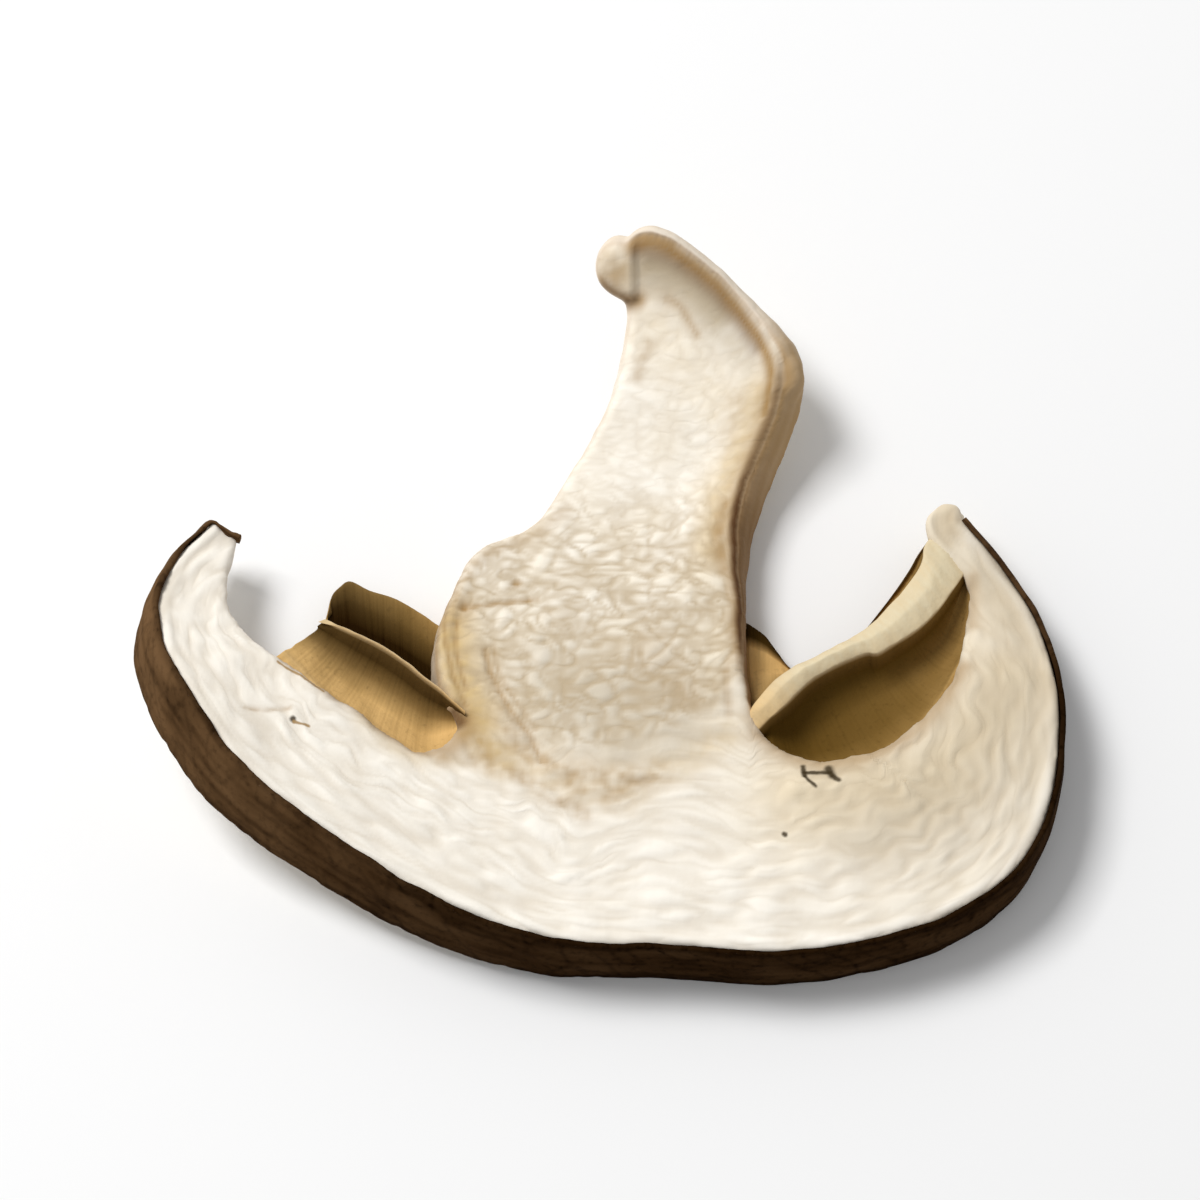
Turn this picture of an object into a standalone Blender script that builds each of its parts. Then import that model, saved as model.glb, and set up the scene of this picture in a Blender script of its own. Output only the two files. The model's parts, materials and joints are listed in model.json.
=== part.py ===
"""A dried porcini slice, cut lengthwise through cap and stem, lying on its back cut face.

The stem points along +Y and the crown of the cap along -Y. The front cut face looks up.
The slice is drawn flat, hollowed where the pores have shrunk, and then curled as it dried.
"""
import math

import bmesh
import bpy
from mathutils import Vector

MM = 0.001

# Thickness of the slice, and how much of it the tips of the cap have lost
CAP_THICKNESS = 4.7
STEM_THICKNESS = 3.3
TIP_THINNING = 0.5

# Depth of the two hollows, measured down from the front cut face
LEFT_HOLLOW_DEPTH = 1.9
RIGHT_HOLLOW_DEPTH = 2.7

# Thickness of the pore layer's back edge, where it stands out past the front edge
PORE_EDGE_THICKNESS = 1.6

# Size of the facets that the solid is made of
FACET = 1.05
EDGE_SMOOTHING_ROUNDS = 4

# Outline of the slice in millimetres, anticlockwise from the left tip of the cap
CAP_RIM = [
    (-24.2, 3.4), (-26.1, 0.4), (-27.2, -4.0), (-26.3, -8.4), (-22.6, -14.0), (-16.4, -18.2),
    (-9.8, -21.4), (-3.5, -23.0), (3.9, -23.2), (9.1, -23.6), (14.4, -23.1), (19.8, -21.4),
    (23.9, -18.5), (26.2, -14.2), (27.0, -8.1), (26.4, -2.2), (24.4, 2.0), (22.1, 5.1),
]
RIGHT_LIP = [
    (20.9, 6.1), (19.7, 4.6), (18.4, 1.6), (16.8, -0.9), (13.9, -3.6), (11.1, -5.6), (9.4, -7.1),
]
STEM_EDGE = [
    (8.7, -8.2), (8.4, -4.4), (8.5, -0.4), (9.3, 4.5), (10.7, 8.3), (12.1, 11.6), (12.5, 14.2),
    (11.9, 16.2), (10.2, 18.3), (8.0, 20.4), (5.5, 22.1), (3.0, 22.7), (0.9, 22.2), (0.6, 21.0),
    (1.9, 19.6), (2.1, 17.8), (0.9, 13.3), (-2.7, 6.2), (-4.3, 4.1), (-7.2, 2.5), (-9.2, -1.6),
    (-9.9, -4.2),
]
LEFT_RIDGE = [
    (-9.7, -7.0), (-11.3, -5.9), (-15.2, -3.6), (-17.0, -3.1), (-18.4, -4.4), (-20.7, -5.8),
    (-22.3, -4.1), (-23.1, -1.3), (-22.8, 2.0),
]

# Outlines of the two hollows where the pore layers have shrunk away
LEFT_HOLLOW = [
    (-18.3, -6.5), (-17.0, -5.2), (-15.2, -5.1), (-13.2, -6.2), (-11.4, -7.5), (-9.7, -8.9),
    (-9.4, -10.4), (-10.7, -11.3), (-12.7, -10.9), (-14.8, -9.7), (-17.1, -8.3),
]
RIGHT_HOLLOW = [
    (10.0, -9.8), (11.2, -8.3), (13.2, -6.9), (16.0, -5.5), (18.2, -3.9), (20.0, -1.9),
    (21.3, 0.2), (21.9, -1.9), (21.0, -5.5), (19.6, -7.8), (17.6, -9.8), (15.2, -11.0),
    (13.0, -11.4), (10.8, -10.8),
]

# Outlines of the pore layers' back edges beside the stem
LEFT_PORE_EDGE = [
    (-9.0, -7.5), (-9.3, -2.3), (-10.5, -0.1), (-12.1, 1.1), (-13.7, 1.6), (-15.2, 1.9),
    (-16.0, 0.6), (-17.0, -2.0), (-16.6, -5.0), (-13.0, -7.0),
]
RIGHT_PORE_EDGE = [
    (8.0, -7.6), (8.1, -1.0), (9.8, -1.3), (10.7, -2.5), (11.4, -3.8), (12.0, -5.6),
]


def fade(value, zero_at, one_at):
    """Go smoothly from 0 to 1 between two values, in either order."""
    share = min(1.0, max(0.0, (value - zero_at) / (one_at - zero_at)))
    return share * share * (3.0 - 2.0 * share)


class Bend:
    """A part of the slice that curls up past a straight fold line.

    It turns up toward a direction, from a line that is start millimetres out from the
    middle, around a radius. It fades out past the x and y limits, each a (none, full) pair.
    """

    def __init__(self, toward_deg, start, radius, x_limits=(), y_limits=()):
        self.along_x = math.cos(math.radians(toward_deg))
        self.along_y = math.sin(math.radians(toward_deg))
        self.start = start
        self.radius = radius
        self.x_limits = x_limits
        self.y_limits = y_limits

    def rise(self, x, y):
        reach = max(0.0, x * self.along_x + y * self.along_y - self.start)
        height = reach * reach / (2.0 * self.radius)
        for none, full in self.x_limits:
            height *= fade(x, none, full)
        for none, full in self.y_limits:
            height *= fade(y, none, full)
        return height


# How the slice curled as it dried: the cap's left arm, the stem, its right edge, the right tip
BENDS = [
    Bend(toward_deg=201.0, start=6.9, radius=41.7),
    Bend(toward_deg=74.3, start=8.0, radius=13.9, x_limits=[(-12.0, -4.0), (22.0, 14.0)]),
    Bend(toward_deg=-12.4, start=2.95, radius=11.0, x_limits=[(14.6, 12.6)],
         y_limits=[(-2.0, 7.0)]),
    Bend(toward_deg=70.7, start=2.1, radius=22.3, x_limits=[(12.6, 18.0)]),
]

# Where the cap thins to the stem, and where its two arms thin to their tips
STEM_ONSET = (-6.0, 8.0)
STEM_MIDDLE = 4.5
STEM_REACH = (16.0, 9.0)
TIP_ONSET = (-9.0, 6.0)
TIP_MIDDLE = 1.0
TIP_REACH = (13.0, 23.0)


def thickness(x, y):
    """Thickness of the slice at a place on the flat drawing."""
    stem = fade(y, *STEM_ONSET) * fade(abs(x - STEM_MIDDLE), *STEM_REACH)
    tip = fade(y, *TIP_ONSET) * fade(abs(x - TIP_MIDDLE), *TIP_REACH)
    full = CAP_THICKNESS + (STEM_THICKNESS - CAP_THICKNESS) * stem
    return full * (1.0 - TIP_THINNING * tip)


def rise(x, y):
    """Height of the back face above the surface that the slice lies on."""
    return sum(bend.rise(x, y) for bend in BENDS)


def curled(flat):
    """Carry a point of the flat slice, in metres, to its place on the curled one."""
    x = flat.x / MM
    y = flat.y / MM
    step = 0.02
    slope_x = (rise(x + step, y) - rise(x - step, y)) / (2.0 * step)
    slope_y = (rise(x, y + step) - rise(x, y - step)) / (2.0 * step)
    outward = Vector((-slope_x, -slope_y, 1.0)).normalized()
    depth_share = flat.z / MM / CAP_THICKNESS
    back = Vector((x, y, rise(x, y)))
    return (back + outward * (depth_share * thickness(x, y))) * MM


def flat_plate(name, runs, bottom, top, collection):
    """Fill a closed outline, give it thickness, and turn it into a mesh object.

    The outline is made of smooth runs of points, in millimetres, that meet at corners.
    """
    curve = bpy.data.curves.new(name + "_outline", "CURVE")
    curve.dimensions = "2D"
    curve.fill_mode = "BOTH"
    curve.extrude = (top - bottom) / 2.0 * MM
    curve.resolution_u = 6
    points = [point for run in runs for point in run]
    corners = {run[0] for run in runs} if len(runs) > 1 else set()
    spline = curve.splines.new("BEZIER")
    spline.bezier_points.add(len(points) - 1)
    spline.use_cyclic_u = True
    for knot, point in zip(spline.bezier_points, points):
        knot.co = (point[0] * MM, point[1] * MM, 0.0)
        knot.handle_left_type = "VECTOR" if point in corners else "AUTO"
        knot.handle_right_type = knot.handle_left_type

    drawn = bpy.data.objects.new(name + "_outline", curve)
    collection.objects.link(drawn)
    drawn.location.z = (top + bottom) / 2.0 * MM
    bpy.context.view_layer.update()
    evaluated = drawn.evaluated_get(bpy.context.evaluated_depsgraph_get())
    mesh = bpy.data.meshes.new_from_object(evaluated)
    plate = bpy.data.objects.new(name, mesh)
    plate.matrix_world = drawn.matrix_world
    bpy.data.objects.remove(drawn)

    shape = bmesh.new()
    shape.from_mesh(mesh)
    bmesh.ops.remove_doubles(shape, verts=shape.verts, dist=0.01 * MM)
    shape.to_mesh(mesh)
    shape.free()
    collection.objects.link(plate)
    return plate


def guide_plate(name, outline, bottom, top, collection):
    """A plate that only shapes the slice and is not part of it."""
    guide = flat_plate(name, [outline], bottom, top, collection)
    guide.hide_render = True
    guide.display_type = "WIRE"
    return guide


def add_boolean(obj, operation, guide):
    boolean = obj.modifiers.new(guide.name, "BOOLEAN")
    boolean.operation = operation
    boolean.solver = "EXACT"
    boolean.object = guide


def add_facets(obj):
    """Divide the whole surface into even facets."""
    facets = obj.modifiers.new("facets", "REMESH")
    facets.mode = "VOXEL"
    facets.voxel_size = FACET * MM


def apply_modifiers(obj):
    """Replace an object's mesh by what its modifiers make of it, in world coordinates."""
    bpy.context.view_layer.update()
    evaluated = obj.evaluated_get(bpy.context.evaluated_depsgraph_get())
    mesh = bpy.data.meshes.new_from_object(evaluated)
    mesh.transform(obj.matrix_world)
    obj.modifiers.clear()
    obj.data = mesh
    obj.matrix_world.identity()


def round_and_curl(obj):
    """Round the cut edges, curl the slice, and set the origin under the middle of its box."""
    shape = bmesh.new()
    shape.from_mesh(obj.data)
    for _ in range(EDGE_SMOOTHING_ROUNDS):
        bmesh.ops.smooth_vert(
            shape, verts=shape.verts, factor=0.5, use_axis_x=True, use_axis_y=True
        )
    bottom = min(vert.co.z for vert in shape.verts)
    for vert in shape.verts:
        vert.co.z -= bottom
        vert.co = curled(vert.co)
    for axis in (0, 1):
        low = min(vert.co[axis] for vert in shape.verts)
        high = max(vert.co[axis] for vert in shape.verts)
        for vert in shape.verts:
            vert.co[axis] -= (low + high) / 2.0
    shape.to_mesh(obj.data)
    shape.free()


def flesh_material():
    material = bpy.data.materials.new("dried_flesh")
    material.use_nodes = True
    shader = material.node_tree.nodes["Principled BSDF"]
    shader.inputs["Base Color"].default_value = (0.86, 0.78, 0.62, 1.0)
    shader.inputs["Roughness"].default_value = 0.8
    shader.inputs["Metallic"].default_value = 0.0
    return material


def new_collection(name):
    collection = bpy.data.collections.new(name)
    bpy.context.scene.collection.children.link(collection)
    return collection


def build_slice(parts, guides):
    runs = [CAP_RIM, RIGHT_LIP, STEM_EDGE, LEFT_RIDGE]
    porcini = flat_plate("porcini_slice", runs, 0.0, CAP_THICKNESS, parts)
    for name, outline in (("left_pore_edge", LEFT_PORE_EDGE), ("right_pore_edge", RIGHT_PORE_EDGE)):
        edge = guide_plate(name, outline, 0.0, PORE_EDGE_THICKNESS, guides)
        add_boolean(porcini, "UNION", edge)
    clear_of_face = CAP_THICKNESS + 1.0
    for name, outline, depth in (
        ("left_hollow", LEFT_HOLLOW, LEFT_HOLLOW_DEPTH),
        ("right_hollow", RIGHT_HOLLOW, RIGHT_HOLLOW_DEPTH),
    ):
        hollow = guide_plate(name, outline, CAP_THICKNESS - depth, clear_of_face, guides)
        add_boolean(porcini, "DIFFERENCE", hollow)
    add_facets(porcini)
    apply_modifiers(porcini)
    round_and_curl(porcini)
    porcini.data.materials.clear()
    porcini.data.materials.append(flesh_material())
    porcini.data.shade_smooth()


def main():
    for old in list(bpy.data.objects):
        bpy.data.objects.remove(old)
    build_slice(new_collection("dried_porcini"), new_collection("guides"))


main()
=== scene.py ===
"""A dried porcini slice, cut lengthwise through cap and stem, lying on its back cut face.

The slice is drawn flat in millimetres, with its stem along +Y, and every point of it is then
carried onto the curled slice. Its flesh, its cap skin and its two shrunken pore layers are
pieces of their own.
"""
from __future__ import annotations

import json
import logging
import math
from dataclasses import dataclass, field
from enum import Enum
from typing import Callable, Sequence

import bmesh
import bpy
import numpy as np
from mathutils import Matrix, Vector

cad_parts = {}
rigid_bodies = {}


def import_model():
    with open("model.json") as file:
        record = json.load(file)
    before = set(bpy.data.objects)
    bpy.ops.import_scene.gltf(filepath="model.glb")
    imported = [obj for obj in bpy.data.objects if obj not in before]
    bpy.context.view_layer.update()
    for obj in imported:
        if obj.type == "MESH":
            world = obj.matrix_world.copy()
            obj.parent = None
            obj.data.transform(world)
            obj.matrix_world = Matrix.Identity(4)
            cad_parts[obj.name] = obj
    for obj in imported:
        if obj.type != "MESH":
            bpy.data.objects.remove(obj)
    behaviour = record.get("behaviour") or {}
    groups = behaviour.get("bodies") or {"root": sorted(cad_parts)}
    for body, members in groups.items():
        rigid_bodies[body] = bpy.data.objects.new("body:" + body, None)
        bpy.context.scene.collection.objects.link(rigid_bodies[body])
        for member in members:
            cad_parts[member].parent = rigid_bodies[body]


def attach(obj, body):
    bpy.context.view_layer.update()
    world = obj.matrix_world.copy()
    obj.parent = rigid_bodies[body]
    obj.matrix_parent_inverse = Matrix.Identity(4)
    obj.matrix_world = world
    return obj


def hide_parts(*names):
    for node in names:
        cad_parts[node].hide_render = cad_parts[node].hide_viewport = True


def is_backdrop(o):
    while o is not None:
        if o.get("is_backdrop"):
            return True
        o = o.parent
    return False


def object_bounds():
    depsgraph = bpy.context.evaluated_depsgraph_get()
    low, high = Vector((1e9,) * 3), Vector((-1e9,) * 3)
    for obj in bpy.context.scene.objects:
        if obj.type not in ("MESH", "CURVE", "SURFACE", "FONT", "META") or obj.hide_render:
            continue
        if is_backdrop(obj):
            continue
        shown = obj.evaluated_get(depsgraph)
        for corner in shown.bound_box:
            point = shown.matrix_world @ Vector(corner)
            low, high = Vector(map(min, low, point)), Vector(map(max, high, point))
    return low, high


log = logging.getLogger("porcini")

MM = 0.001

# Middle of the flat drawing, which becomes the origin, in millimetres
DRAWING_MIDDLE = (0.161, -0.756)

# Thickness of the slice in millimetres
CAP_THICKNESS = 4.7
STEM_THICKNESS = 3.3
TIP_THINNING = 0.5
SKIN_THICKNESS = 0.3
SKIN_OVERLAP = 0.14
SIDE_BULGE = 0.18

# Size of the facets of the flesh, and the spacing of points along an outline
FLESH_FACET = 0.2
OUTLINE_STEP = 0.25

Point = tuple[float, float]

# Outline of the slice, anticlockwise from the left tip of the cap
CAP_RIM: list[Point] = [
    (-24.2, 3.4), (-26.1, 0.4), (-27.2, -4.0), (-26.3, -8.4), (-22.6, -14.0), (-16.4, -18.2),
    (-9.8, -21.4), (-3.5, -23.0), (3.9, -23.2), (9.1, -23.6), (14.4, -23.1), (19.8, -21.4),
    (23.9, -18.5), (26.2, -14.2), (27.0, -8.1), (26.4, -2.2), (24.4, 2.0), (22.1, 5.1),
]
RIGHT_TIP: list[Point] = [
    (21.8, 5.9), (20.9, 6.2), (20.0, 5.5), (19.8, 4.7), (20.0, 3.8), (20.8, 2.6), (21.9, 1.6),
]
RIGHT_POCKET_EDGE: list[Point] = [
    (22.3, 0.6), (22.0, -1.7), (21.0, -5.5), (19.6, -7.8), (17.6, -9.8), (15.2, -11.0),
    (13.0, -11.4), (10.8, -10.8), (9.6, -9.8),
]
STEM_EDGE: list[Point] = [
    (8.7, -8.2), (8.4, -4.4), (8.5, -0.4), (9.3, 4.5), (10.7, 8.3), (12.1, 11.6), (12.5, 14.2),
    (11.7, 16.0), (9.9, 17.9), (7.7, 19.9), (5.3, 21.6), (3.6, 22.4), (2.5, 22.4), (1.9, 22.1),
    (1.1, 22.3), (0.4, 21.9), (0.3, 20.9), (0.9, 20.2), (2.0, 19.5), (2.1, 17.8), (0.9, 13.3),
    (-2.7, 6.2), (-4.3, 4.1), (-7.2, 2.5), (-9.2, -1.6), (-9.9, -4.2), (-9.8, -6.4), (-9.3, -7.9),
]
LEFT_RECESS_EDGE: list[Point] = [
    (-8.9, -8.7), (-8.8, -9.6), (-9.7, -10.8), (-11.3, -11.3), (-13.0, -10.5), (-15.0, -9.2),
    (-17.0, -8.0), (-19.3, -6.1),
]
LEFT_ARM_EDGE: list[Point] = [
    (-20.5, -5.6), (-21.7, -4.4), (-22.4, -3.4), (-22.8, -2.1), (-22.8, -0.7), (-22.6, 0.8),
    (-22.3, 2.4), (-22.45, 3.2), (-23.2, 3.6), (-23.8, 3.75),
]


def fade(value: np.ndarray, zero_at: float, one_at: float) -> np.ndarray:
    """Go smoothly from 0 to 1 between two values, in either order."""
    share = np.clip((value - zero_at) / (one_at - zero_at), 0.0, 1.0)
    return share * share * (3.0 - 2.0 * share)


def bump_at(value: np.ndarray, middle: float, half_width: float) -> np.ndarray:
    """A round bump of height 1 about a middle, with soft feet."""
    return np.exp(-(((value - middle) / half_width) ** 2))


class Noise:
    """Smooth seeded noise over a plane, about -1 to 1."""

    def __init__(self, seed: int) -> None:
        source = np.random.default_rng(seed)
        self.order = source.permutation(256)
        angle = source.uniform(0.0, math.tau, 256)
        self.lean_x = np.cos(angle)
        self.lean_y = np.sin(angle)

    def _corner(self, column: np.ndarray, row: np.ndarray, x: np.ndarray, y: np.ndarray) -> np.ndarray:
        pick = self.order[(self.order[column & 255] + row) & 255]
        return self.lean_x[pick] * x + self.lean_y[pick] * y

    def __call__(self, x: np.ndarray, y: np.ndarray) -> np.ndarray:
        """Noise at each place; neighbours one unit apart are nearly unrelated."""
        column = np.floor(x).astype(int)
        row = np.floor(y).astype(int)
        x = x - column
        y = y - row
        ease_x = x * x * x * (x * (6.0 * x - 15.0) + 10.0)
        ease_y = y * y * y * (y * (6.0 * y - 15.0) + 10.0)
        near = self._corner(column, row, x, y)
        right = self._corner(column + 1, row, x - 1.0, y)
        above = self._corner(column, row + 1, x, y - 1.0)
        across = self._corner(column + 1, row + 1, x - 1.0, y - 1.0)
        low = near + (right - near) * ease_x
        high = above + (across - above) * ease_x
        return (low + (high - low) * ease_y) * 1.5


def creased(noise: np.ndarray, sharpness: float = 0.12) -> np.ndarray:
    """Turn noise into round folds with narrow creases between them, 0 in a crease to about 1."""
    return np.sqrt(noise * noise + sharpness * sharpness) - sharpness


@dataclass(frozen=True)
class Bend:
    """A part of the slice that curls up past a straight fold line.

    It turns up toward a direction, from a line that is start millimetres out from the
    middle, around a radius. It fades out past the x and y limits, each a (none, full) pair.
    """

    toward_deg: float
    start: float
    radius: float
    x_limits: tuple[tuple[float, float], ...] = ()
    y_limits: tuple[tuple[float, float], ...] = ()

    def rise(self, x: np.ndarray, y: np.ndarray) -> np.ndarray:
        """Height that this bend lifts each place."""
        toward = math.radians(self.toward_deg)
        reach = np.maximum(0.0, x * math.cos(toward) + y * math.sin(toward) - self.start)
        height = reach * reach / (2.0 * self.radius)
        for none, full in self.x_limits:
            height = height * fade(x, none, full)
        for none, full in self.y_limits:
            height = height * fade(y, none, full)
        return height


@dataclass(frozen=True)
class CurledSheet:
    """Carries the flat drawing onto the slice as it curled while it dried."""

    bends: tuple[Bend, ...] = (
        Bend(toward_deg=201.0, start=6.9, radius=41.7),
        Bend(toward_deg=74.3, start=8.0, radius=13.9, x_limits=((-12.0, -4.0), (22.0, 14.0))),
        Bend(toward_deg=-12.4, start=2.95, radius=11.0, x_limits=((14.6, 12.6),),
             y_limits=((-2.0, 7.0),)),
        Bend(toward_deg=70.7, start=2.1, radius=22.3, x_limits=((12.6, 18.0),)),
    )
    stem_onset: tuple[float, float] = (-6.0, 8.0)
    stem_middle: float = 4.5
    stem_reach: tuple[float, float] = (16.0, 9.0)
    tip_onset: tuple[float, float] = (-9.0, 6.0)
    tip_middle: float = 1.0
    tip_reach: tuple[float, float] = (13.0, 23.0)
    left_thins_early: float = 0.12
    end_thinning: float = 0.42
    end_onset: tuple[float, float] = (13.0, 21.0)

    def rise(self, x: np.ndarray, y: np.ndarray) -> np.ndarray:
        """Height of the back face above the surface that the slice lies on."""
        return sum(bend.rise(x, y) for bend in self.bends)

    def thickness(self, x: np.ndarray, y: np.ndarray) -> np.ndarray:
        """Thickness of the slice at each place on the flat drawing."""
        stem = fade(y, *self.stem_onset) * fade(np.abs(x - self.stem_middle), *self.stem_reach)
        early = self.left_thins_early * np.maximum(-x, 0.0)
        tip = fade(y + early, *self.tip_onset) * fade(np.abs(x - self.tip_middle), *self.tip_reach)
        full = CAP_THICKNESS + (STEM_THICKNESS - CAP_THICKNESS) * stem
        full = full * (1.0 - self.end_thinning * fade(y, *self.end_onset))
        return full * (1.0 - TIP_THINNING * tip)

    def place(self, x: np.ndarray, y: np.ndarray, height: np.ndarray) -> np.ndarray:
        """Carry flat places to the curled slice.

        Args:
            x: Places across the drawing, in millimetres.
            y: Places along the stem, in millimetres.
            height: How far each is from the back face, in millimetres.

        Returns:
            One row of x, y and z in metres for each place.
        """
        step = 0.02
        slope_x = (self.rise(x + step, y) - self.rise(x - step, y)) / (2.0 * step)
        slope_y = (self.rise(x, y + step) - self.rise(x, y - step)) / (2.0 * step)
        outward = np.stack([-slope_x, -slope_y, np.ones_like(x)], axis=1)
        outward /= np.linalg.norm(outward, axis=1, keepdims=True)
        back = np.stack([x - DRAWING_MIDDLE[0], y - DRAWING_MIDDLE[1], self.rise(x, y)], axis=1)
        placed = back + outward * height[:, None]
        placed[:, 2] = np.maximum(placed[:, 2], 0.0)
        return placed * MM


class Path:
    """A smooth line through points of the flat drawing, sampled at an even step."""

    def __init__(self, points: Sequence[Point], step: float = OUTLINE_STEP) -> None:
        knots = np.array(points, float)
        before = 2.0 * knots[0] - knots[1]
        after = 2.0 * knots[-1] - knots[-2]
        padded = np.vstack([before, knots, after])
        share = np.linspace(0.0, 1.0, 24, endpoint=False)[:, None]
        spans = []
        for a, b, c, d in zip(padded, padded[1:], padded[2:], padded[3:]):
            spans.append(0.5 * (2.0 * b + (c - a) * share + (2.0 * a - 5.0 * b + 4.0 * c - d) * share**2
                                + (3.0 * b - a - 3.0 * c + d) * share**3))
        line = np.vstack([*spans, knots[-1:]])
        gaps = np.linalg.norm(np.diff(line, axis=0), axis=1)
        travelled = np.concatenate([[0.0], np.cumsum(gaps)])
        self.length = float(travelled[-1])
        count = max(2, int(round(self.length / step)) + 1)
        even = np.linspace(0.0, self.length, count)
        self.places = np.stack([np.interp(even, travelled, line[:, i]) for i in (0, 1)], axis=1)
        self.travelled = even

    def at(self, share: np.ndarray) -> np.ndarray:
        """Places at shares of the whole length, 0 to 1."""
        wanted = np.clip(share, 0.0, 1.0) * self.length
        return np.stack([np.interp(wanted, self.travelled, self.places[:, i]) for i in (0, 1)], axis=1)

    def left_side(self, share: np.ndarray) -> np.ndarray:
        """Directions that point to the left of the path at shares of its length."""
        reach = 0.4 / self.length
        ahead = self.at(share + reach) - self.at(share - reach)
        ahead /= np.linalg.norm(ahead, axis=1, keepdims=True)
        return np.stack([-ahead[:, 1], ahead[:, 0]], axis=1)

    def shifted(self, distance: float) -> np.ndarray:
        """The sampled places moved to the left of the path."""
        share = self.travelled / self.length
        return self.at(share) + self.left_side(share) * distance

    def nearest(self, x: np.ndarray, y: np.ndarray) -> tuple[np.ndarray, np.ndarray]:
        """Distance from each place to the path, and how far along the path that is."""
        distance = np.empty_like(x)
        along = np.empty_like(x)
        chunk = 4096
        for start in range(0, len(x), chunk):
            part = slice(start, start + chunk)
            squared = ((x[part, None] - self.places[None, :, 0]) ** 2
                       + (y[part, None] - self.places[None, :, 1]) ** 2)
            pick = squared.argmin(axis=1)
            distance[part] = np.sqrt(squared[np.arange(len(pick)), pick])
            along[part] = self.travelled[pick]
        return distance, along


def mesh_places(mesh: bpy.types.Mesh) -> np.ndarray:
    """All vertex places of a mesh as rows."""
    values = np.empty(len(mesh.vertices) * 3)
    mesh.vertices.foreach_get("co", values)
    return values.reshape(-1, 3)


def set_mesh_places(mesh: bpy.types.Mesh, places: np.ndarray) -> None:
    """Move every vertex of a mesh."""
    mesh.vertices.foreach_set("co", places.astype(np.float32).ravel())
    mesh.update()


def add_attribute(mesh: bpy.types.Mesh, name: str, values: np.ndarray) -> None:
    """Store one number for each vertex, for the materials to read."""
    layer = mesh.attributes.new(name, "FLOAT", "POINT")
    layer.data.foreach_set("value", values.astype(np.float32))


def apply_modifiers(obj: bpy.types.Object) -> None:
    """Replace an object's mesh by what its modifiers make of it."""
    bpy.context.view_layer.update()
    evaluated = obj.evaluated_get(bpy.context.evaluated_depsgraph_get())
    mesh = bpy.data.meshes.new_from_object(evaluated)
    obj.modifiers.clear()
    obj.data = mesh


def new_object(name: str, shape: bmesh.types.BMesh) -> bpy.types.Object:
    """Put a finished bmesh into the scene as an object."""
    mesh = bpy.data.meshes.new(name)
    shape.to_mesh(mesh)
    shape.free()
    obj = bpy.data.objects.new(name, mesh)
    bpy.context.scene.collection.objects.link(obj)
    return obj


def face_outward(obj: bpy.types.Object) -> None:
    """Make every face of a closed mesh look outward, and shade it smooth."""
    shape = bmesh.new()
    shape.from_mesh(obj.data)
    bmesh.ops.recalc_face_normals(shape, faces=shape.faces)
    shape.to_mesh(obj.data)
    shape.free()
    obj.data.shade_smooth()


# Shader building

class Signal:
    """A value inside a material that takes part in sums like a number."""

    def __init__(self, sheet: NodeSheet, socket: bpy.types.NodeSocket) -> None:
        self.sheet = sheet
        self.socket = socket

    def _math(self, operation: str, *operands: Operand) -> Signal:
        node = self.sheet.node("ShaderNodeMath", {"operation": operation}, dict(enumerate(operands)))
        return Signal(self.sheet, node.outputs[0])

    def __add__(self, other: Operand) -> Signal:
        return self._math("ADD", self, other)

    def __radd__(self, other: Operand) -> Signal:
        return self._math("ADD", other, self)

    def __sub__(self, other: Operand) -> Signal:
        return self._math("SUBTRACT", self, other)

    def __rsub__(self, other: Operand) -> Signal:
        return self._math("SUBTRACT", other, self)

    def __mul__(self, other: Operand) -> Signal:
        return self._math("MULTIPLY", self, other)

    def __rmul__(self, other: Operand) -> Signal:
        return self._math("MULTIPLY", other, self)

    def __truediv__(self, other: Operand) -> Signal:
        return self._math("DIVIDE", self, other)

    def __pow__(self, other: Operand) -> Signal:
        return self._math("POWER", self, other)

    def at_least(self, other: Operand) -> Signal:
        """The larger of the two."""
        return self._math("MAXIMUM", self, other)

    def at_most(self, other: Operand) -> Signal:
        """The smaller of the two."""
        return self._math("MINIMUM", self, other)

    def size(self) -> Signal:
        """The value without its sign."""
        return self._math("ABSOLUTE", self)

    def fade(self, zero_at: float, one_at: float) -> Signal:
        """Go smoothly from 0 to 1 between two values, in either order."""
        falling = zero_at > one_at
        low, high = (one_at, zero_at) if falling else (zero_at, one_at)
        ends = {3: 1.0, 4: 0.0} if falling else {3: 0.0, 4: 1.0}
        node = self.sheet.node("ShaderNodeMapRange", {"interpolation_type": "SMOOTHSTEP"},
                               {0: self, 1: low, 2: high, **ends})
        return Signal(self.sheet, node.outputs[0])


Operand = Signal | float
Colour = tuple[float, float, float]


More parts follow.
